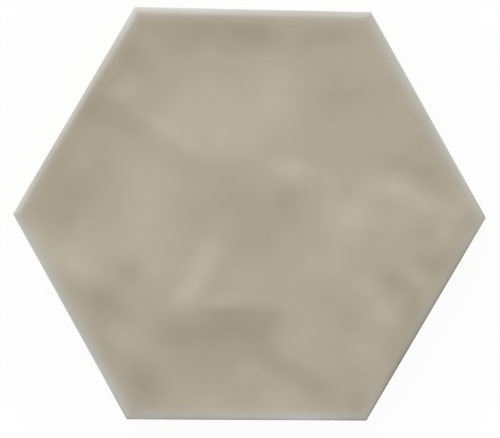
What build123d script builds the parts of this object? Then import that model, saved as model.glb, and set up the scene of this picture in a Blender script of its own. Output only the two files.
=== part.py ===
"""A hexagon wall tile: clay pressed and fired in one piece, glazed on its rippled, soft-edged face.

The origin is at the middle of the back, where the tile rests. +Z points out of the glazed face, and two
corners of the hexagon lie on the X axis. Lengths are in millimetres and angles in degrees.
"""

from build123d import *

import math
import os

# The outline and the sides
across_flats = 108.0  # between two opposite sides, at their widest
thickness = 8.3  # from the back to the mean level of the face
cushion_round = 1.5  # glazed edge between the face and the sides
corner_allowance = 0.2  # how much rounder the upright corners are than the glazed edge that turns round them
land_foot = 3.6  # height above the back where the upright part of a side starts
side_draft = 3.0  # how far a side leans in below that, towards the back
foot_bevel = 0.5  # bevel round the back

# The face: it falls gently towards the sides, and soft swells and hollows ripple it
fall_depth = 0.5  # how far it has fallen at the side
fall_width = 2.5  # how far in from the side the fall has shrunk to about half of that
calm_inset = 5.0  # how far inside the sides half of a ripple is left
calm_width = 1.5  # how softly the ripples die away there: most of it happens over four times this
grid_pitch = 2.5  # spacing of the points that the face passes through
grid_overhang = 6.0  # how far those points run past the corners
fit_tolerance = 0.01  # how closely the face keeps to the points
fit_degrees = (3, 5)  # least and greatest degree of the spline through them
cutting_room = 3.0  # how far the sides run up past the face before it cuts them off

# The keyed back: sunk hexagon cells that mortar fills, with ribs between them
cell_width = 12.5  # a cell's mouth, between opposite sides
rib_width = 2.5  # between two neighbouring cells
cell_depth = 0.8
cell_draft = 30.0  # slope of a cell's walls from upright
cell_corner_round = 1.5
back_margin = 5.0  # least plain strip between the cells and the bevel

SIDES = 6
SIDE_TURN = 360 / SIDES
HALF_TURN = math.radians(SIDE_TURN / 2)

half_width = across_flats / 2
corner_round = cushion_round + corner_allowance


class Swell:
    """A soft oval rise in the face, or a hollow where its height is negative."""

    def __init__(self, x, y, half_length, half_breadth, turn, height):
        self.x, self.y = x, y
        self.half_length, self.half_breadth = half_length, half_breadth
        self.turn = math.radians(turn)
        self.height = height

    def rise(self, x, y):
        """Its share of the face's height at (x, y): a bell curve along and across the oval."""
        dx, dy = x - self.x, y - self.y
        along = dx * math.cos(self.turn) + dy * math.sin(self.turn)
        across = dy * math.cos(self.turn) - dx * math.sin(self.turn)
        return self.height * math.exp(-((along / self.half_length) ** 2) - (across / self.half_breadth) ** 2)


# The face's larger ripples: where each lies, its half length and half breadth, its turn and its height
SWELLS = [
    Swell(-2, 48, 24, 6, 0, -0.20),
    Swell(-36, 26, 11, 6, -25, -0.18),
    Swell(-49, 4, 9, 12, 0, -0.16),
    Swell(-6, -29, 15, 6, 0, -0.26),
    Swell(-29, -43, 9, 8, 0, -0.16),
    Swell(14, -41, 12, 6, -25, -0.14),
    Swell(41, -20, 10, 6, -55, -0.14),
    Swell(46, 11, 11, 6, -18, -0.12),
    Swell(10, 1, 9, 9, 0, -0.12),
    Swell(22, 27, 9, 11, 0, -0.08),
    Swell(-14, 20, 14, 7, -22, 0.20),
    Swell(7, 31, 11, 8, 90, 0.18),
    Swell(-25, 5, 14, 7, 80, 0.16),
    Swell(-45, -11, 9, 7, -30, 0.14),
    Swell(-13, -15, 12, 6, 60, 0.20),
    Swell(37, 6, 14, 6, -18, 0.14),
    Swell(20, -33, 9, 9, 0, 0.10),
]


def face_height(x, y):
    """The height of the glazed face over the back at (x, y)."""
    fall, calm = 0.0, 1.0
    for side in range(SIDES):
        outward = math.radians(SIDE_TURN * (side + 0.5))
        inside = half_width - x * math.cos(outward) - y * math.sin(outward)
        fall += fall_depth * math.log2(1 + math.exp(-inside / fall_width))
        calm /= 1 + math.exp((calm_inset - inside) / calm_width)
    return thickness - fall + calm * sum(swell.rise(x, y) for swell in SWELLS)


def rounded_hexagon(width, corner):
    """A flat hexagon with two corners on the X axis and its corners rounded."""
    hexagon = RegularPolygon(radius=width / 2, side_count=SIDES, major_radius=False)
    return fillet(hexagon.vertices(), corner)


def pressed_blank():
    """The sides of the tile: upright above, leaning in below, and tall enough to be cut by the face."""
    outline = Plane.XY.offset(land_foot) * rounded_hexagon(across_flats, corner_round)
    upright = extrude(outline, amount=thickness + cutting_room - land_foot)
    leaning = extrude(outline, amount=-land_foot, taper=side_draft)
    return upright + leaning


def rippled_face():
    """A spline surface through a square grid of points at the face's height, larger than the tile."""
    reach = half_width / math.cos(HALF_TURN) + grid_overhang
    steps = math.ceil(2 * reach / grid_pitch)
    places = [-reach + 2 * reach * i / steps for i in range(steps + 1)]
    points = [[Vector(x, y, face_height(x, y)) for y in places] for x in places]
    least, greatest = fit_degrees
    return Face.make_surface_from_array_of_points(points, tol=fit_tolerance, min_deg=least, max_deg=greatest)


def cell_places():
    """The middles of the back's cells: rings of a honeycomb, as many as fit inside the plain margin."""
    pitch = cell_width + rib_width
    row = pitch * math.cos(HALF_TURN)
    foot_half_width = half_width - land_foot * math.tan(math.radians(side_draft)) - foot_bevel
    room = foot_half_width - back_margin - cell_width / 2 / math.cos(HALF_TURN)
    rings = int(room / row)
    for r in range(-rings, rings + 1):
        for q in range(-rings, rings + 1):
            if abs(q + r) <= rings:
                yield pitch * (q + r / 2), row * r


def back_cells():
    """The cells as solids to be cut away, each narrowing upwards from its mouth in the back."""
    seen_from_below = Plane(origin=(0, 0, 0), x_dir=(0, 1, 0), z_dir=(0, 0, -1))
    mouth = seen_from_below * rounded_hexagon(cell_width, cell_corner_round)
    cell = extrude(mouth, amount=-cell_depth, taper=cell_draft)
    return [Pos(x, y, 0) * cell for x, y in cell_places()]


def hexagon_tile():
    """The whole tile, as one solid."""
    tile = split(pressed_blank(), bisect_by=rippled_face(), keep=Keep.BOTTOM)
    glazed_face = tile.faces().sort_by(Axis.Z)[-1]
    tile = fillet(glazed_face.edges(), cushion_round)
    back = tile.faces().sort_by(Axis.Z)[0]
    tile = chamfer(back.edges(), foot_bevel)
    return tile - back_cells()


os.makedirs("parts", exist_ok=True)
export_step(hexagon_tile(), "parts/hexagon_tile.step")
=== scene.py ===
# %% [markdown]
# # A hexagon wall tile
# One tile of a honeycomb wall: pressed clay, fired, with a pale gloss glaze on its rippled face. It lies on
# a white floor and the camera looks straight down on it. The CAD model is loaded first as a fixed frame, so
# that every size below can be set against it.

# %% The frame
import math

import bpy
import numpy as np
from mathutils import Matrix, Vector
from mathutils.geometry import tessellate_polygon


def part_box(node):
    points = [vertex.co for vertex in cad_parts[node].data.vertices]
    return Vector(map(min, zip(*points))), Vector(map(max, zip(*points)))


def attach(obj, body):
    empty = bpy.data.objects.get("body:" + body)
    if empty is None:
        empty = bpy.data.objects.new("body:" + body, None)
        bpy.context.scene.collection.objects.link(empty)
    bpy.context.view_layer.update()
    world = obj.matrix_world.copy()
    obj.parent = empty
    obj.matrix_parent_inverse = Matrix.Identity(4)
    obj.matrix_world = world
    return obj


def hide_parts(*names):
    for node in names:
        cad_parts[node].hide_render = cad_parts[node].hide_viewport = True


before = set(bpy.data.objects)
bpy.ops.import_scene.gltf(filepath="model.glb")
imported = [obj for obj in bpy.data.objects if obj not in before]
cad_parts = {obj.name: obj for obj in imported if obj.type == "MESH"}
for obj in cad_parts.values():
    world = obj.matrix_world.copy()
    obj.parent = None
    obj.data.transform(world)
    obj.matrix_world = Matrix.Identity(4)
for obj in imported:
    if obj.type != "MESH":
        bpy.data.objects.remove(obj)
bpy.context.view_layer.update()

mm = 0.001
lowest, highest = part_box("hexagon_tile")
print("The CAD tile in mm:", [round(side / mm, 2) for side in highest - lowest])

# %% [markdown]
# ## The outline
# Seen from above the tile is a regular hexagon with hardly rounded corners. Pressing and firing leave it a
# few tenths of a millimetre out of true, and that is what makes a row of such tiles look alive. A curve
# object could hold the outline, but every ring of the tile follows it, so it is worked out once as an array
# of points.

# %% A rounded hexagon as an array of points
SIDES = 6


def rounded_hexagon(half_width, radius, arc_steps, side_steps):
    """Points round a hexagon with rounded corners, anticlockwise from above, with its first corner on +X.

    Each corner is an arc about the corner of a smaller hexagon, whose sides lie one radius further in.
    Between two arcs the points divide the straight side evenly. Returns the points and each one's place,
    counted in sides: a corner's points have its whole number, and a side's run from one whole number to the
    next.
    """
    turn = np.radians(360 / SIDES * np.arange(SIDES))
    arc = np.radians(np.linspace(-180 / SIDES, 180 / SIDES, arc_steps + 1))
    angle = turn[:, None] + arc
    inner_corner = (half_width - radius) / math.cos(math.pi / SIDES)
    centres = inner_corner * np.stack([np.cos(turn), np.sin(turn)], axis=-1)
    arcs = centres[:, None] + radius * np.stack([np.cos(angle), np.sin(angle)], axis=-1)
    share = (np.arange(1, side_steps) / side_steps)[:, None]
    starts, ends = arcs[:, -1:], np.roll(arcs[:, :1], -1, axis=0)
    sides = starts * (1 - share) + ends * share
    place = np.concatenate([np.zeros(arc_steps + 1), share[:, 0]]) + np.arange(SIDES)[:, None]
    return np.concatenate([arcs, sides], axis=1).reshape(-1, 2), place.ravel()


# %% [markdown]
# The corners are shifted as those of the tile in the photograph are. Each shift was measured there, between
# straight lines laid along the sides, and then corrected a little. The hexagon is set four tenths of a
# millimetre inside the CAD model's sides, so that the shifted corners stay inside them too.

# %% The tile's own outline, out of true
side_clearance = 0.39 * mm
half_width = highest.y - side_clearance
corner_radius = 0.55 * mm
# in x and y, of the right, upper right, upper left, left, lower left and lower right corner
corner_shifts = mm * np.array(
    [(-0.22, 0.11), (0.08, -0.20), (0.24, 0.38), (0.16, -0.46), (-0.45, -0.10), (0.18, 0.37)]
)

outline, place = rounded_hexagon(half_width, corner_radius, arc_steps=8, side_steps=64)
closed_shifts = np.vstack([corner_shifts, corner_shifts[:1]])
for axis in (0, 1):
    outline[:, axis] += np.interp(place, np.arange(SIDES + 1), closed_shifts[:, axis])
print("Outline:", len(outline), "points,", np.ptp(outline, axis=0).round(5) / mm, "mm")

# %% [markdown]
# ## The rippled face
# The press plate of a handmade-look tile has soft swells and hollows, up to a quarter of a millimetre high
# and one to three centimetres across. Noise could ripple the face, but the photograph shows where the
# larger ones lie. So each is an oval bell curve with its own place, size, turn and height, and the face is
# level but for their sum.

# %% Swells and hollows, listed one by one
# x, y, half length, half breadth, turn in degrees, height: lengths in mm
RIPPLES = (
    (-2, 48, 24, 6, 0, -0.20),
    (-36, 26, 11, 6, -25, -0.18),
    (-49, 4, 9, 12, 0, -0.16),
    (-6, -29, 15, 6, 0, -0.26),
    (-29, -43, 9, 8, 0, -0.16),
    (14, -41, 12, 6, -25, -0.14),
    (41, -20, 10, 6, -55, -0.14),
    (46, 11, 11, 6, -18, -0.12),
    (10, 1, 9, 9, 0, -0.12),
    (22, 27, 9, 11, 0, -0.08),
    (-14, 20, 14, 7, -22, 0.20),
    (7, 31, 11, 8, 90, 0.18),
    (-25, 5, 14, 7, 80, 0.16),
    (-45, -11, 9, 7, -30, 0.14),
    (-13, -15, 12, 6, 60, 0.20),
    (37, 6, 14, 6, -18, 0.14),
    (20, -33, 9, 9, 0, 0.10),
)


def sum_of_bells(bells, x, y):
    """The sum of oval bell curves at (x, y), each its height times a bell curve along and across its oval."""
    x, y = x[..., None] / mm, y[..., None] / mm
    middle_x, middle_y, length, breadth, turn, height = np.array(bells, float).T
    dx, dy, turn = x - middle_x, y - middle_y, np.radians(turn)
    along = (dx * np.cos(turn) + dy * np.sin(turn)) / length
    across = (dy * np.cos(turn) - dx * np.sin(turn)) / breadth
    return (height * np.exp(-(along**2) - across**2)).sum(axis=-1)


# %% [markdown]
# The glaze over it has clouds of its own, smaller than the ripples: it melted into pools here and ran thin
# there. The clouds also paint the light and shade of the swells and their reflections: darker on slopes
# turned from the light, paler on those turned to it. They are placed in the same way, but all they change is
# the colour. Each one's last number says how much darker or paler the glaze is, in steps of 255.

# %% Clouds in the glaze, with painted light and shade of the swells, listed one by one
# x, y, half length, half breadth, turn in degrees, steps paler: lengths in mm
CLOUDS_AND_PAINTED_SHADE = (
    # along the top
    (-27, 46, 2.5, 3, 0, 3), (-26, 49, 4, 2.5, 0, -3), (-20, 47, 6, 4, 0, -4), (-20, 46, 3, 2.5, 0, 3),
    (-18, 44, 4, 3, 0, -3), (-8, 48.5, 12, 3.5, 0, -9), (-7, 44, 3, 3, 0, -3), (0, 46, 30, 5, 0, -4),
    (1, 47.5, 5, 3, 0, -6), (2, 44, 7, 2.5, 0, -4), (16, 45, 5, 2.5, 0, -3), (20, 48, 7, 3.5, 0, -8),
    (-37, 40, 3, 1.5, 60, 2), (-32, 42, 3.5, 4, 0, -6), (-25, 43, 9, 10, 0, -5), (-11, 41, 3, 3, 0, 3),
    (-10, 42.5, 9, 2, 0, -2), (14, 40, 8, 4, 0, -3),
    # the upper left, down to the left corner
    (-30, 37, 6, 4, -45, -4), (-41, 30, 12, 3, 60, -4), (-40, 30, 5, 2, -25, -3), (-36, 35, 5, 4, 60, -4),
    (-36, 28, 3, 2, -30, -3), (-34, 28.5, 3, 2.5, 0, -4), (-33, 32, 5, 3, 45, 7), (-45, 23, 4, 2.5, 60, -3),
    (-40, 26, 5, 3.2, -30, -10), (-39, 26, 3, 2, -20, 3), (-31, 22, 7, 3, -35, -8), (-51, 12, 3, 3, 0, -3),
    (-46, 13, 15, 8, 62, -7), (-45, 13, 2.5, 2.5, 0, 3), (-38, 13, 3, 5, 0, -3), (-36, 18, 4, 3, 0, -3),
    (-45, 5, 3, 5, -30, -3), (-49, 3, 9, 6, 0, -5), (-45, 1, 2.5, 3, 0, -2), (-42, 4, 3, 4, 0, -2),
    # the pale plain above the middle, and its lower rim
    (-23, 38, 3, 4, 0, 3), (-12, 38, 6, 3, 0, -2), (-8, 37, 2.5, 3, 0, -2), (-26, 29.5, 3.5, 3, 0, -4),
    (-24, 36, 7, 3, -35, -3), (-12, 30, 11, 7, 0, 6), (-11, 31, 4, 3, 0, -3), (7, 33, 8, 6, 90, 7),
    (-25, 21.5, 9, 1.3, -37, -3), (-23, 22.5, 5, 3.5, -40, 8), (-15, 20.4, 7, 3, -20, 6),
    (-14, 24, 8, 3.5, -20, 2), (-8, 21, 2.5, 2.5, 0, 4), (0, 24, 8, 9, 0, 5), (5, 27, 6, 4, 0, 2),
    (-16, 17.5, 6, 2, -25, 4), (-15, 12.5, 5, 3, -10, -3), (-12, 18.5, 2, 2, 0, -3),
    (-12, 17, 7, 2.5, -15, 2), (-5, 18, 6, 3, 0, 3), (-2, 12.5, 3, 3, 0, -3), (6, 17, 4, 2, 0, -2),
    (10, 12, 4.5, 3, 0, 9),
    # the upper right
    (20, 37, 5, 4, 0, -2.5), (24, 31, 8, 5, 0, -7), (30, 36, 4, 4, 0, -3), (44, 23, 4, 5, 0, -3),
    (31, 17, 3.5, 3.5, 0, -2), (34, 18, 4, 5, 0, 3), (37, 13, 2.5, 2, 0, -2.5), (40, 14, 3, 2, 0, -3),
    (43, 14, 4, 2, 0, 3), (45, 12, 9, 3, -20, -10), (46, 19, 4, 4, 0, -3), (17, 10.5, 10, 3.5, -15, 4),
    (50, 11, 3, 2, -20, 4),
    # the middle, and the pale column left of it
    (-25, 8, 10, 6, 90, 6), (10, 4.5, 3, 2.5, 0, -3), (-27, -4, 7, 6, 0, 5), (-14, -1, 3.5, 4, 0, -3),
    (-3, 3, 9, 9, 0, -6), (9, 1, 7, 6, 90, -6), (-10, -8.5, 3.5, 3, 0, 3), (2, -8, 6, 5, 0, -5),
    # the right, out to the corner
    (25, 7, 2.5, 2.5, 0, -5), (37, 8, 6, 3, -5, 7.5), (45, 7, 4, 2, -20, -3), (46, 7.5, 6, 2, -20, -2),
    (56, 5, 5, 2.5, -60, 5), (26, -1, 6, 4, 20, 9), (33, 2, 14, 7, 0, 4), (35, 3, 4, 1.6, -5, -4),
    (46, 3.8, 6, 3, -25, 8), (46, -4, 3, 2.5, 0, -5), (50.5, -4, 2, 2, 0, 7), (53, 1.2, 2.5, 2, 0, 4),
    (58, -1.5, 3, 3, 0, -6), (25, -6, 3, 2.5, 0, 3), (55, -8, 3, 2, 30, -4),
    # the left, under the corner
    (-48, -2, 3, 3, 0, -4), (-33, -3, 5, 4, 0, -3), (-56, -6, 5, 3, -60, 7), (-47, -11.5, 6, 4, -10, 8),
    (-36, -7, 9, 4, 0, 5), (-49, -16, 2.5, 3, -60, -2), (-46, -20, 4, 3, -60, -5),
    (-43, -15, 5, 2.5, -20, 6), (-40, -15, 5, 3, 0, 2), (-31, -15.5, 3.5, 3, 0, -9),
    (-42, -22, 3, 2.5, 0, -3), (-38, -23, 4.5, 4, 0, -11), (-32, -26.5, 3.5, 3, 0, -5),
    (-38, -28.5, 3, 3, 0, -5),
    # the bright streak, the dark patch under it (pooled glaze and painted shade) and the start of its tail
    (-27, -15, 4, 3, 0, 3), (-24, -12, 4, 4, 0, 5), (-12.5, -14, 9, 3, 65, 9), (-11, -15, 2, 3, -30, 3),
    (-2, -17, 4, 4, 0, 3), (-22, -27.5, 3, 2.5, 0, -2.5), (-16.5, -20.5, 4, 2.5, 30, 7),
    (-7, -25.6, 5, 1.4, 0, -3), (-7, -22, 8, 1.6, 10, 7), (-6, -23.3, 5, 1, 3, 2),
    (-1, -25.4, 9, 1.6, 0, -5), (2, -26, 3, 1.5, 0, 3), (6, -26, 4, 3, 0, -5), (-20, -31, 7, 4, 10, -8),
    (-10, -32, 8, 3.5, 0, -11), (-4, -36, 10, 3, 0, -3), (-3, -28, 11, 3.6, 0, -11),
    (-1, -30, 4, 1.5, 0, 3), (0, -30, 7, 2.5, 0, -6), (4, -33, 5, 4, 0, -8), (-10, -39, 14, 5, 0, -6),
    (8, -39, 8, 3, -30, -8),
    # the lower right
    (21, -12.5, 6, 3.5, 0, 5), (28, -17, 4, 3, 0, 3), (31, -19.5, 4, 2, -50, 4), (38, -17, 5, 3, -40, -12),
    (40.5, -20, 3, 2, -45, 4), (43.5, -15.5, 4, 2, -40, 6), (48, -17, 5, 2.5, 60, -5),
    (49, -12, 6, 3, 0, -9), (20, -22, 4, 4, 0, -4), (27, -27, 5, 4.5, 0, -6), (35, -26, 4.5, 3.5, 0, 8),
    (42.5, -24, 7, 2.8, 90, -9), (14, -30, 9, 6, 90, 3), (25, -34, 2, 3, 0, -2), (30, -34, 4, 4, 0, 4),
    (34, -28.5, 3, 2.5, 0, -2.5), (39, -34, 6, 3.5, 60, -7), (12, -39.5, 3, 2, 0, -2),
    (17, -38, 5, 3, -30, 3),
    # along the bottom, and the lower left
    (-38, -36, 6, 3, -60, -5), (-37, -34, 5, 2.5, -60, -3), (-33, -32, 5.5, 3.5, 0, 5),
    (-1, -42, 3, 3, 0, 4), (27, -41, 4, 3, 0, -4), (-36, -45, 5, 1.5, -60, 4), (-28, -51, 5, 2.5, 0, -5),
    (-27.5, -44, 7, 5.5, -45, -13), (-24, -46, 3, 3, 0, -2), (-14, -47, 2, 2, 0, -3),
    (-12, -48, 8, 3, 0, 3), (0, -45, 8, 4, 0, -5), (8, -48, 6, 3.5, 0, 6), (17, -44, 5, 3.5, -40, -9),
    (20, -46, 4, 3, 0, -3), (28.5, -49, 4, 3.5, 0, -8),
)
print(len(RIPPLES), "ripples and", len(CLOUDS_AND_PAINTED_SHADE), "clouds")

# %% [markdown]
# ## The cushion edge and the sides
# Towards the sides the face rolls over in a soft glazed edge. Under it the glaze runs a little way down the
# side and ends in a low bead, and below that the clay is bare down to a small bevel round the back. A bevel
# modifier would round the edge evenly, but here the glaze and the press made it broader in one place than
# in another. So all of it is one profile carried round the outline: each row of the profile is a ring, with
# its own distance in from the side and its own height.

# %% How the edge changes round the outline
# each list goes anticlockwise from the right corner, with a value at each corner and each middle of a side:
# how far in from the rim the rolled edge's fall has shrunk 2.7 times, and how high the glaze ends, in mm
edge_reaches = (0.54, 0.58, 0.58, 0.64, 0.64, 0.50, 0.48, 0.70, 0.66, 0.60, 0.55, 0.55)
glaze_ends = (3.6, 3.9, 3.2, 3.5, 4.0, 3.4, 3.1, 3.6, 3.9, 3.3, 3.0, 3.4)
# the glaze's end wobbles besides, by this row of heights, repeated round the tile
glaze_wobbles = (0.10, -0.06, 0.04, -0.12, 0.08, -0.03, 0.0)
wobble_repeats = 7


def eased(values, repeats=1):
    """Values set at even steps round the outline, with a smooth step from each to the next."""
    values = np.tile(np.ravel(values), repeats)
    step = place * len(values) / SIDES
    before = np.floor(step).astype(int)
    share = step - before
    share = share * share * (3 - 2 * share)
    return values[before % len(values)] * (1 - share) + values[(before + 1) % len(values)] * share


def span(lengths):
    """The least and the greatest of some lengths, as text."""
    return f"{lengths.min() / mm:.2f} to {lengths.max() / mm:.2f} mm"


edge_reach = mm * eased(edge_reaches)
glaze_end = mm * (eased(glaze_ends) + eased(glaze_wobbles, wobble_repeats))
print("The edge's reach:", span(edge_reach))

# %% [markdown]
# The face is level but for its ripples, which die away near the sides. There it rolls over, slowly at first
# and then ever faster: each time the distance to the side shrinks by the edge's reach, the slope grows 2.7
# times. The rows lie ever closer together towards the rim, where the face bends most.

# %% Rows of the face and of the rolled edge
face_level = 8.24 * mm
calm_inset = 5.0 * mm  # how far inside the sides half of a ripple is left
calm_width = 1.5 * mm  # how softly the ripples die away there
rim_slope = 2.67  # the fall for each millimetre outwards, at the rim
face_rows = 50
edge_zone = 4.5 * mm  # the strip along the sides with rows of its own
edge_rows = 24
edge_crowding = 1.7  # how much closer those lie towards the rim: 1 would space them evenly

rows = []  # each row of the profile: its distance in from the side, and its height


def face_height(inset):
    """Height over the back at that distance in from the outline.

    It is the level, with what is left of the ripples there, less the fall of the rolled edge, which shrinks
    inwards by the exponential of the distance over the edge's reach.
    """
    ring = outline * (1 - inset / half_width)[:, None]
    calm = 1 / (1 + np.exp((calm_inset - inset) / calm_width))
    fall = rim_slope * edge_reach * np.exp(-inset / edge_reach)
    return face_level + mm * sum_of_bells(RIPPLES, ring[:, 0], ring[:, 1]) * calm - fall


face_insets = edge_zone + (half_width - edge_zone) * np.linspace(1, 0, face_rows + 1)[1:]
edge_insets = edge_zone * np.linspace(1, 0, edge_rows + 1)[1:] ** edge_crowding
for distance in (*face_insets, *edge_insets):
    inset = np.full_like(place, distance)
    rows.append((inset, face_height(inset)))
shoulder = rows[-1][1]
print("The rim lies", span(shoulder), "over the back")

# %% [markdown]
# Below the edge the glazed wall is drawn in by a tenth of a millimetre. Its lower end swells out again to a
# low bead, where the melted glaze gathered, and turns under it to the bare clay.

# %% Rows of the glazed wall and its bead
wall_inset = 0.12 * mm  # how far the glazed wall is drawn in, at the top of the bead
bare_inset = 0.24 * mm  # how far in the bare clay lies, under it
bead_height = 0.7 * mm
bead_bulge = 0.10 * mm
wall_rows = 8
bead_rows = 10

bead_top = glaze_end + bead_height
for share in np.linspace(0, 1, wall_rows + 1)[1:]:
    inset = np.full_like(place, wall_inset * math.sin(share * math.pi / 2))
    rows.append((inset, shoulder + (bead_top - shoulder) * share))
for angle in np.radians(np.linspace(0, 180, bead_rows + 1))[1:]:
    share = (1 - math.cos(angle)) / 2
    inset = wall_inset + (bare_inset - wall_inset) * share - bead_bulge * math.sin(angle)
    rows.append((np.full_like(place, inset), bead_top - bead_height * share))
glazed_rows = len(rows)
print("The glaze ends", span(glaze_end), "over the back")

# %% [markdown]
# Under the bead the bare side goes straight down at first and then leans in towards the back, as a pressed
# tile does to leave its die. A quarter circle of rings rounds its foot into a small bevel.

# %% Rows of the bare side, its lean and the bevel round the back
land_foot = 3.6 * mm  # the height under which the side leans in
side_draft = math.radians(3)
bevel = 0.5 * mm
bare_rows = 6
bevel_rows = 5

foot = np.full_like(place, bevel)
for share in np.linspace(0, 1, bare_rows + 1)[1:]:
    height = glaze_end + (foot - glaze_end) * share
    lean = np.clip(land_foot - height, 0, None) * math.tan(side_draft)
    rows.append((bare_inset + lean, height))
for angle in np.radians(np.linspace(0, 90, bevel_rows + 1))[1:]:
    rows.append((bare_inset + lean + bevel * (1 - math.cos(angle)), foot * (1 - math.sin(angle))))
print(len(rows), "rings,", glazed_rows, "of them glazed")

# %% [markdown]
# ## The keyed back
# The press also sinks cells into the back, so that the adhesive has something to grip. Each cell is a
# hexagon that narrows as it goes in. Cutting them with a boolean modifier would leave long thin faces, so a
# cell too is rings of a profile: a rounded lip, a sloping wall, a hollow fillet and the floor. One cell is
# worked out and then copied to every place in the honeycomb by adding the places to it.

# %% One cell and its copies
cell_half_width = 6.25 * mm
rib_width = 2.5 * mm
cell_depth = 0.8 * mm
cell_draft = math.radians(30)  # slope of a cell's walls from upright
cell_corner = 1.5 * mm
lip = 0.2 * mm  # radius of the rounded lip
fillet = 0.3 * mm  # radius of the hollow fillet round the floor
arc_points = 4  # along the lip, and along the fillet
back_rings = 3  # of cells, round the middle one


def cell_profile():
    """Half widths and heights from the lip to the floor's rim: two arcs that turn by the wall's slope."""
    turns = np.linspace(0, math.pi / 2 - cell_draft, arc_points)
    lip_in, lip_up = lip * np.sin(turns), lip * (1 - np.cos(turns))
    fillet_in, fillet_up = fillet * np.sin(turns), fillet * (1 - np.cos(turns))
    wall_up = cell_depth - lip_up[-1] - fillet_up[-1]
    wall_in = wall_up * math.tan(cell_draft)
    into = np.concatenate([lip_in, lip_in[-1] + wall_in + fillet_in[-1] - fillet_in[::-1]])
    up = np.concatenate([lip_up, cell_depth - fillet_up[::-1]])
    return cell_half_width + lip_in[-1] - into, up


cell_widths, cell_heights = cell_profile()
cell_rings = []
for width, height in zip(cell_widths, cell_heights):
    radius = cell_corner + width - cell_half_width
    ring, _ = rounded_hexagon(width, radius, arc_steps=3, side_steps=2)
    # a quarter turn, so that the cell's sides face its neighbours
    cell_rings.append(np.column_stack([-ring[:, 1], ring[:, 0], np.full(len(ring), height)]))
one_cell = np.vstack([*cell_rings, (0, 0, cell_depth)])

pitch = 2 * cell_half_width + rib_width
# q and r count the places along two rows of the honeycomb that cross at 60 degrees
steps = np.arange(-back_rings, back_rings + 1)
q, r = (grid.ravel() for grid in np.meshgrid(steps, steps))
q, r = q[abs(q + r) <= back_rings], r[abs(q + r) <= back_rings]
cell_places = pitch * np.column_stack([q + r / 2, r * math.cos(math.pi / SIDES), 0 * r])
cells = cell_places[:, None] + one_cell
print(len(cells), "cells of", len(one_cell), "points")

# %% [markdown]
# ## The mesh
# Rings become quads between one ring and the next. A fan of triangles closes the middle of the face and the
# floor of each cell. The flat of the back is one polygon with a hole for each cell, which Blender's
# tessellate_polygon cuts into triangles. Neighbouring parts share their points, so the tile is one closed
# skin.

# %% Helpers for rings and fans
def ring_quads(rings, points):
    """Quads from each ring to the next one out, closed round the ring, as rows of four point numbers."""
    ring = points * np.arange(rings - 1)[:, None]
    here = np.arange(points)
    there = (here + 1) % points
    corners = [ring + here, ring + points + here, ring + points + there, ring + there]
    return np.stack(corners, axis=-1).reshape(-1, 4)


def fan(middle, ring):
    """Triangles from a middle point to each pair of neighbours on a ring."""
    return np.column_stack([np.full_like(ring, middle), ring, np.roll(ring, -1)])


# %% All the points of the tile
around = len(outline)
insets = np.array([inset for inset, _ in rows])
heights = np.array([height for _, height in rows])
tile_xy = outline * (1 - insets / half_width)[..., None]
tile_points = np.dstack([tile_xy, heights]).reshape(-1, 3)
middle_point = np.array([[0, 0, face_height(np.full(around, half_width))[0]]])
points = np.vstack([tile_points, middle_point, cells.reshape(-1, 3)])
print("Points:", len(points))

# %% All its faces
tile_quads = ring_quads(len(rows), around)
middle = len(tile_points)
middle_fan = fan(middle, np.arange(around))

cell_around = len(cell_rings[0])
cell_starts = middle + 1 + len(one_cell) * np.arange(len(cells))
cell_quads = ring_quads(len(cell_rings), cell_around) + cell_starts[:, None, None]
cell_middle = len(one_cell) - 1
cell_fan = fan(cell_middle, np.arange(cell_middle - cell_around, cell_middle))[:, ::-1]  # it faces down
cell_fans = cell_fan + cell_starts[:, None, None]

back_ring = np.arange(around) + middle - around
mouths = [np.arange(cell_around) + start for start in cell_starts]
loops = [back_ring, *mouths]
back_cut = np.array(tessellate_polygon([points[loop].tolist() for loop in loops]))
back_faces = np.concatenate(loops)[back_cut]


def turned_down(triangles):
    """The same triangles with each one's points in the order that makes it face down."""
    a, b, c = (points[triangles[:, i]] for i in range(3))
    faces_up = np.cross(b - a, c - a)[:, 2] > 0
    return np.where(faces_up[:, None], triangles[:, ::-1], triangles)


back_faces = turned_down(back_faces)
face_groups = [tile_quads, middle_fan, cell_quads.reshape(-1, 4), cell_fans.reshape(-1, 3), back_faces]
faces = [face for group in face_groups for face in group.tolist()]
glazed_quads = (glazed_rows - 1) * around
print("Faces:", len(faces))

# %% [markdown]
# A skin is closed when each edge is walked once in each direction by the faces that share it.

# %% Is the skin closed?
edges = np.vstack([
    np.stack([group, np.roll(group, -1, axis=1)], axis=-1).reshape(-1, 2) for group in face_groups
])
one_way = np.sort(edges[:, 0] * len(points) + edges[:, 1])
other_way = np.sort(edges[:, 1] * len(points) + edges[:, 0])
print("Closed:", bool((np.diff(one_way) > 0).all() and (one_way == other_way).all()))

# %% [markdown]
# The mesh has two material slots, glaze and bare clay. The face, the glazed wall and the bead take the
# first one. All is shaded smooth but for the flat of the back.

# %% The mesh and its two material slots
glaze_slot, clay_slot = 0, 1

mesh = bpy.data.meshes.new("glazed_hexagon_tile")
mesh.from_pydata(points.tolist(), [], faces)
slots = np.full(len(faces), clay_slot)
slots[:glazed_quads] = glaze_slot
slots[len(tile_quads):len(tile_quads) + len(middle_fan)] = glaze_slot
smooth = np.ones(len(faces), bool)
smooth[-len(back_faces):] = False
mesh.polygons.foreach_set("material_index", slots)
mesh.polygons.foreach_set("use_smooth", smooth)
print("Glazed faces:", int((slots == glaze_slot).sum()), "of", len(faces))
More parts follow.
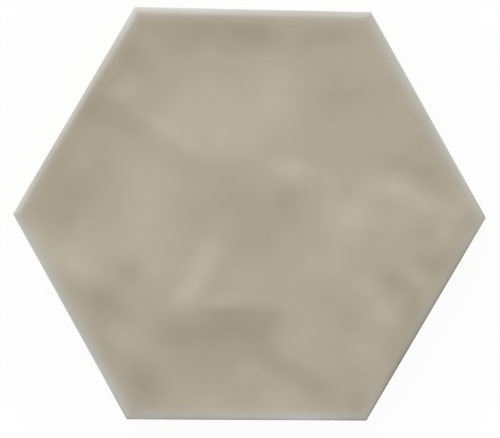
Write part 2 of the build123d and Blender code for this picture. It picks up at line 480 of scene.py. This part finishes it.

# %% [markdown]
# ## What the points remember
# Molten glaze draws back from a sharp edge. It is thinnest at the rim, where the white clay shines through,
# and thickens again both inwards and down the wall. The pale rim also paints part of the sheen on the rolled
# edge. Along the bottom and the lower right a fine dark line at the very rim is painted shade, where the
# edge turns from the light. A material could measure the distance to the edge by itself, but only evenly all
# round, so the mesh stores both for each of its points, and the clouds too. How strong they are was chosen
# for each stretch of the rim, until the render came close to the photograph there.

# %% The thin glaze and its sheen, the painted rim shade and the clouds, stored on the mesh
def remember(name, values):
    """Stores one number for each point of the mesh, for a material to read by that name."""
    attribute = mesh.attributes.new(name, "FLOAT", "POINT")
    attribute.data.foreach_set("value", np.asarray(values, np.float32))


# how thin the glaze runs at the rim, with painted sheen of the edge: a row for each side, anticlockwise from
# the right corner, and in it the side's first corner, its quarter, its middle and its third quarter
thin_and_sheen_shares = (
    (0.75, 0.8, 0.68, 0.8), (0.65, 0.55, 0.8, 1.0), (0.9, 0.45, 0.6, 0.3),
    (0.65, 0.65, 0.45, 0.6), (0.65, 0.65, 0.85, 1.15), (0.6, 0.0, 0.3, 0.3),
)
# how far in from the rim it is thin, in mm, at each corner and each middle of a side
thin_reaches = (1.2, 1.6, 1.7, 1.2, 1.4, 0.9, 1.4, 2.0, 1.9, 1.8, 1.4, 1.05)
thin_falloff = 1.4  # how squarely it thins: 1 would be a plain exponential
# the strength of the painted shade, a fine dark line at the rim, in the same rows
rim_shade_shares = (
    (0.4, 0.0, 0.0, 0.0), (0.0, 0.0, 0.0, 0.0), (0.0, 0.0, 0.0, 0.0),
    (0.0, 0.0, 0.0, 0.0), (0.45, 0.65, 0.75, 0.5), (0.9, 1.0, 0.9, 0.85),
)
# the painted shade at the rim fades 2.7 times over this breadth
rim_shade_breadth = 0.4 * mm  # how far from the rim the dark line has faded 2.7 times

below_rim = np.clip(shoulder - heights, 0, None)
from_rim = (insets + below_rim) / (mm * eased(thin_reaches))
thin_glaze_and_sheen = np.zeros(len(points))
# pale thin glaze at the rim, partly painted sheen of the rolled edge
thin_glaze_and_sheen[:middle] = (eased(thin_and_sheen_shares) * np.exp(-(from_rim**thin_falloff))).ravel()
rim = np.zeros(len(points))
# painted shade: a dark line at the very rim, along the lower sides turned from the light
rim[:middle] = (eased(rim_shade_shares) * np.exp(-(insets**2 + below_rim**2) / rim_shade_breadth**2)).ravel()
remember("thin_glaze_and_sheen", thin_glaze_and_sheen)
remember("rim", rim)
# the clouds hold pooled glaze and painted light and shade of the swells
remember("cloud_and_painted_shade", sum_of_bells(CLOUDS_AND_PAINTED_SHADE, points[:, 0], points[:, 1]))
print("Thinnest glaze:", thin_glaze_and_sheen.max().round(2), "and strongest dark line:", rim.max().round(2))

# %% The tile, in place of the CAD model
mesh.validate()
mesh.update()
tile = bpy.data.objects.new("glazed_hexagon_tile", mesh)
bpy.context.scene.collection.objects.link(tile)
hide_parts("hexagon_tile")
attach(tile, "root")
print("Tile:", len(points), "points,", sum(len(face) - 2 for face in faces), "triangles")

# %% [markdown]
# ## Materials
# Short helpers serve every material: one turns a colour written as sRGB hex into the linear numbers that
# nodes take, one adds a node with its settings and its inputs, one mixes two colours and one starts a
# material.

# %% Helpers for colours and nodes
def linear(code):
    """An sRGB hex colour, such as "AFA896", as linear red, green and blue, with an alpha of 1."""
    srgb = np.array([int(code[i:i + 2], 16) for i in (0, 2, 4)]) / 255
    rgb = np.where(srgb <= 0.04045, srgb / 12.92, ((srgb + 0.055) / 1.055) ** 2.4)
    return (*rgb.tolist(), 1.0)


def add(tree, kind, settings=None, inputs=None):
    """Adds a node. Settings are its own options. An input is a value, or a socket to link to it."""
    node = tree.nodes.new("ShaderNode" + kind)
    for name, value in (settings or {}).items():
        setattr(node, name, value)
    for socket, value in (inputs or {}).items():
        if isinstance(value, bpy.types.NodeSocket):
            tree.links.new(value, node.inputs[socket])
        else:
            node.inputs[socket].default_value = value
    return node


def mixed_colour(tree, share, first, second):
    """The first colour mixed towards the second: not at all where the share is 0, wholly where it is 1."""
    # a Mix node has inputs for numbers, vectors and colours: 6 and 7 are the colours, and so is output 2
    return add(tree, "Mix", {"data_type": "RGBA"}, {0: share, 6: first, 7: second}).outputs[2]


def new_material(name):
    """An empty node material, its tree, and the tree's output node."""
    material = bpy.data.materials.new(name)
    material.use_nodes = True
    material.node_tree.nodes.clear()
    return material, material.node_tree, add(material.node_tree, "OutputMaterial")


# %% [markdown]
# Two more serve what glaze and clay have in common: a value that drifts with a noise, and bumps too fine to
# model.

# %% Helpers for noise
noise_low, noise_high = 0.3, 0.7  # nearly all of a noise lies between these


def spread(tree, noise, least, greatest):
    """A noise stretched evenly, so that nearly all of it fills the range from least to greatest."""
    return add(tree, "MapRange", {}, {
        "Value": noise.outputs["Fac"], "From Min": noise_low, "From Max": noise_high,
        "To Min": least, "To Max": greatest}).outputs[0]


def fine_bumps(tree, where, size, depth, detail):
    """The normal of a surface with soft bumps, each about that size across and that deep."""
    noise = add(tree, "TexNoise", {}, {"Vector": where, "Scale": 1 / size, "Detail": detail})
    return add(tree, "Bump", {}, {
        "Height": noise.outputs["Fac"], "Distance": depth, "Strength": 1.0}).outputs[0]


# %% [markdown]
# ### The glaze
# The glaze is a coat of coloured glass, a few tenths of a millimetre thick, sprayed on and melted in the
# kiln. It runs thin over the edges and pools in the hollows: deep, it is a darker grey beige, and thin, it
# lets the white body through. The colour starts from the clouds, which also hold painted light and shade of
# the swells, with soft noise over them, because no glaze melts evenly. It is then mixed towards a pale grey
# by how thin the glaze is, which also paints part of the sheen on the rolled edge, and towards a dark grey
# along the painted shade at the rim. Its skin is glossy and slightly wavy.

# %% Glossy glaze, fired on pressed clay
glaze, tree, output = new_material("stoneware_glaze_fired_gloss")
where = add(tree, "TexCoord").outputs["Object"]
cloud_and_painted_shade = add(tree, "Attribute", {"attribute_name": "cloud_and_painted_shade"}).outputs["Fac"]
thin_and_sheen = add(tree, "Attribute", {"attribute_name": "thin_glaze_and_sheen"}).outputs["Fac"]
painted_rim_shade = add(tree, "Attribute", {"attribute_name": "rim"}).outputs["Fac"]

# %% The glaze's colour
cloud_steps = 18.0  # the steps darker or paler at which a cloud has the darkest or the palest colour
drift_size = 12 * mm
drift_steps = 2.5
# the cloud colours: deep glaze with painted shade, and thin glaze with painted light
deepest_and_shaded, palest_and_lit = linear("9E9683"), linear("C5BCA8")
# the pale grey of thin glaze over clay, which also paints the rolled edge's sheen
thin_glaze_and_painted_sheen = linear("D4D3D1")
# the dark grey of the painted shade at the rim
painted_rim_shade_colour = linear("5F5C55")

drift = add(tree, "TexNoise", {}, {"Vector": where, "Scale": 1 / drift_size, "Detail": 4.0, "Roughness": 0.6})
drift_cloud = spread(tree, drift, -drift_steps, drift_steps)
steps_paler = add(tree, "Math", {"operation": "ADD"}, {0: cloud_and_painted_shade, 1: drift_cloud})
paleness = add(tree, "MapRange", {}, {
    "Value": steps_paler.outputs[0], "From Min": -cloud_steps, "From Max": cloud_steps})
clouded_and_shaded = mixed_colour(tree, paleness.outputs[0], deepest_and_shaded, palest_and_lit)
towards_rim = mixed_colour(tree, thin_and_sheen, clouded_and_shaded, thin_glaze_and_painted_sheen)
glaze_colour = mixed_colour(tree, painted_rim_shade, towards_rim, painted_rim_shade_colour)

# %% The glaze's skin
glass_ior = 1.5
least_roughness, greatest_roughness = 0.16, 0.24
skin_size = 1.8 * mm
skin_depth = 0.004 * mm

roughness = spread(tree, drift, least_roughness, greatest_roughness)
skin = fine_bumps(tree, where, skin_size, skin_depth, detail=2.0)
surface = add(tree, "BsdfPrincipled", {}, {
    "Base Color": glaze_colour, "Roughness": roughness, "IOR": glass_ior, "Normal": skin})
tree.links.new(surface.outputs[0], output.inputs["Surface"])
mesh.materials.append(glaze)
print("Glaze:", len(tree.nodes), "nodes")

# %% [markdown]
# ### The bare clay
# Below the glaze the body shows: fine clay powder, pressed dry and fired to a chalky off-white. It is quite
# matt, with fine grains and faint patches a little darker.

# %% Bare pressed and fired clay
clay_ior = 1.5
clay_roughness = 0.9
grain_size = 0.5 * mm
grain_depth = 0.03 * mm
patch_size = 9 * mm
clay_colour, darker_clay = linear("D3CCBD"), linear("C3BAA8")

clay, tree, output = new_material("white_body_clay_pressed_fired")
where = add(tree, "TexCoord").outputs["Object"]
patch = add(tree, "TexNoise", {}, {"Vector": where, "Scale": 1 / patch_size, "Detail": 4.0})
body = mixed_colour(tree, patch.outputs["Fac"], clay_colour, darker_clay)
grain = fine_bumps(tree, where, grain_size, grain_depth, detail=3.0)
surface = add(tree, "BsdfPrincipled", {}, {
    "Base Color": body, "Roughness": clay_roughness, "IOR": clay_ior, "Normal": grain})
tree.links.new(surface.outputs[0], output.inputs["Surface"])
mesh.materials.append(clay)
print("Clay:", len(tree.nodes), "nodes")

# %% [markdown]
# ## Floor and background
# The tile lies on white, and the photograph shows nothing else. To the light in the scene the floor is an
# ordinary white surface, so it throws light back at the tile and takes its soft shadow. To the camera and
# in reflections it is mostly plain white, and wholly so away from the tile, where it meets the white
# background without a line. A floor of plain white alone would lose the shadow, and the tile would seem to
# float.

# %% What the floor and the background share
plain_white = linear("FFFFFF")


def seen_directly(tree):
    """1 for rays from the camera and for reflections, and 0 for the light that falls on things."""
    rays = add(tree, "LightPath")
    return add(tree, "Math", {"operation": "MAXIMUM"}, {
        0: rays.outputs["Is Camera Ray"], 1: rays.outputs["Is Glossy Ray"]}).outputs[0]


# %% The white floor
floor_reach = 6.0  # from the middle to each side, in metres
paper_white = linear("F2F2F2")
floor_level = -0.02 * mm  # just under the tile's back, so that the two never cover each other
near_reach = 56 * mm  # up to here from the middle the floor shows its full share of shadow
far_reach = 100 * mm  # and from here on none
shadow_share = 0.06  # of the real shadow that the camera sees beside the tile

bpy.ops.mesh.primitive_plane_add(size=2 * floor_reach, location=(0, 0, floor_level))
floor = bpy.context.object
floor.name = "floor"

white, tree, output = new_material("white_paper_floor")
where = add(tree, "TexCoord").outputs["Object"]
away = add(tree, "VectorMath", {"operation": "LENGTH"}, {0: where})
plain = add(tree, "MapRange", {"interpolation_type": "SMOOTHSTEP"}, {
    "Value": away.outputs["Value"], "From Min": near_reach, "From Max": far_reach,
    "To Min": 1 - shadow_share, "To Max": 1.0})
amount = add(tree, "Math", {"operation": "MULTIPLY"}, {0: seen_directly(tree), 1: plain.outputs[0]})
paper = add(tree, "BsdfDiffuse", {}, {"Color": paper_white})
glow = add(tree, "Emission", {}, {"Color": plain_white, "Strength": 1.0})
mixed = add(tree, "MixShader", {}, {0: amount.outputs[0], 1: paper.outputs[0], 2: glow.outputs[0]})
tree.links.new(mixed.outputs[0], output.inputs["Surface"])
floor.data.materials.append(white)
print("Floor:", 2 * floor_reach, "m square,", round(-floor_level / mm, 3), "mm under the tile")

# %% [markdown]
# The world is white at strength 1 to the camera and in reflections, and a dimmer sky to all that it lights.
# One strength for both would either grey the background or wash out the tile.

# %% The white background, and a dimmer sky for light
sky_strength = 0.64

world = bpy.data.worlds.new("studio")
bpy.context.scene.world = world
world.use_nodes = True
tree = world.node_tree
tree.nodes.clear()
background = add(tree, "Background", {}, {"Color": plain_white, "Strength": 1.0})
sky = add(tree, "Background", {}, {"Color": plain_white, "Strength": sky_strength})
mixed = add(tree, "MixShader", {}, {0: seen_directly(tree), 1: sky.outputs[0], 2: background.outputs[0]})
tree.links.new(mixed.outputs[0], add(tree, "OutputWorld").inputs["Surface"])
print("Sky strength:", sky_strength)

# %% [markdown]
# ## Light
# The photograph's edge is brightest along the top and the upper left, and darkest at the lower right. So
# one large softbox stands beyond the top edge, a little to the left, and the white sky fills in the rest. A
# small lamp would draw a hard bright line along the rolled edge, so the softbox is larger than its distance
# from the tile.

# %% One softbox
def softbox(name, azimuth, elevation, distance, size, power):
    """A square area lamp that looks at the tile from that direction: azimuth 0 is +X and 90 is +Y.

    Angles are in degrees, distance and size in metres, and power in watts.
    """
    lamp = bpy.data.lights.new(name, "AREA")
    lamp.shape, lamp.size, lamp.energy = "SQUARE", size, power
    holder = bpy.data.objects.new(name, lamp)
    a, e = math.radians(azimuth), math.radians(elevation)
    away = Vector((math.cos(a) * math.cos(e), math.sin(a) * math.cos(e), math.sin(e)))
    holder.location = away * distance
    holder.rotation_euler = (-away).to_track_quat("-Z", "Y").to_euler()
    bpy.context.scene.collection.objects.link(holder)
    print("Softbox", name, "at", [round(length, 2) for length in holder.location])


softbox("upper_left", azimuth=120, elevation=38, distance=1.6, size=2.0, power=16)

# %% [markdown]
# ## The camera
# The photograph looks square down on the tile: opposite sides are parallel and no side wall shows. The
# camera stands 80 cm above it and its lens is worked out from how large the tile is in the picture. The
# tile lies a little off the middle and a fraction of a degree askew, and so does the camera.

# %% A camera square above the tile
picture_width = 500  # in pixels
sensor_width = 36.0  # in millimetres, as is the lens
hexagon_half_height = 205.4  # the tile's mean half width in the photograph, in its pixels
camera_distance = 0.8  # in metres, over the rim
askew = math.radians(0.718)  # how far the camera is turned, anticlockwise from above
tile_shift = Vector((-0.11, 1.00)) * mm  # of the tile from the middle of the picture, right and up

shoulder_height = float(shoulder.mean())
camera = bpy.data.cameras.new("camera")
camera.sensor_width = sensor_width
camera.lens = hexagon_half_height / half_width * camera_distance * sensor_width / picture_width
holder = bpy.data.objects.new("camera", camera)
right = Vector((math.cos(askew), math.sin(askew)))
up = Vector((-math.sin(askew), math.cos(askew)))
middle_of_view = -(right * tile_shift.x + up * tile_shift.y)
holder.location = (*middle_of_view, shoulder_height + camera_distance)
holder.rotation_euler = (0, 0, askew)
bpy.context.scene.collection.objects.link(holder)
bpy.context.scene.camera = holder
bpy.context.scene.view_settings.view_transform = "Standard"
print("Lens:", round(camera.lens, 1), "mm")
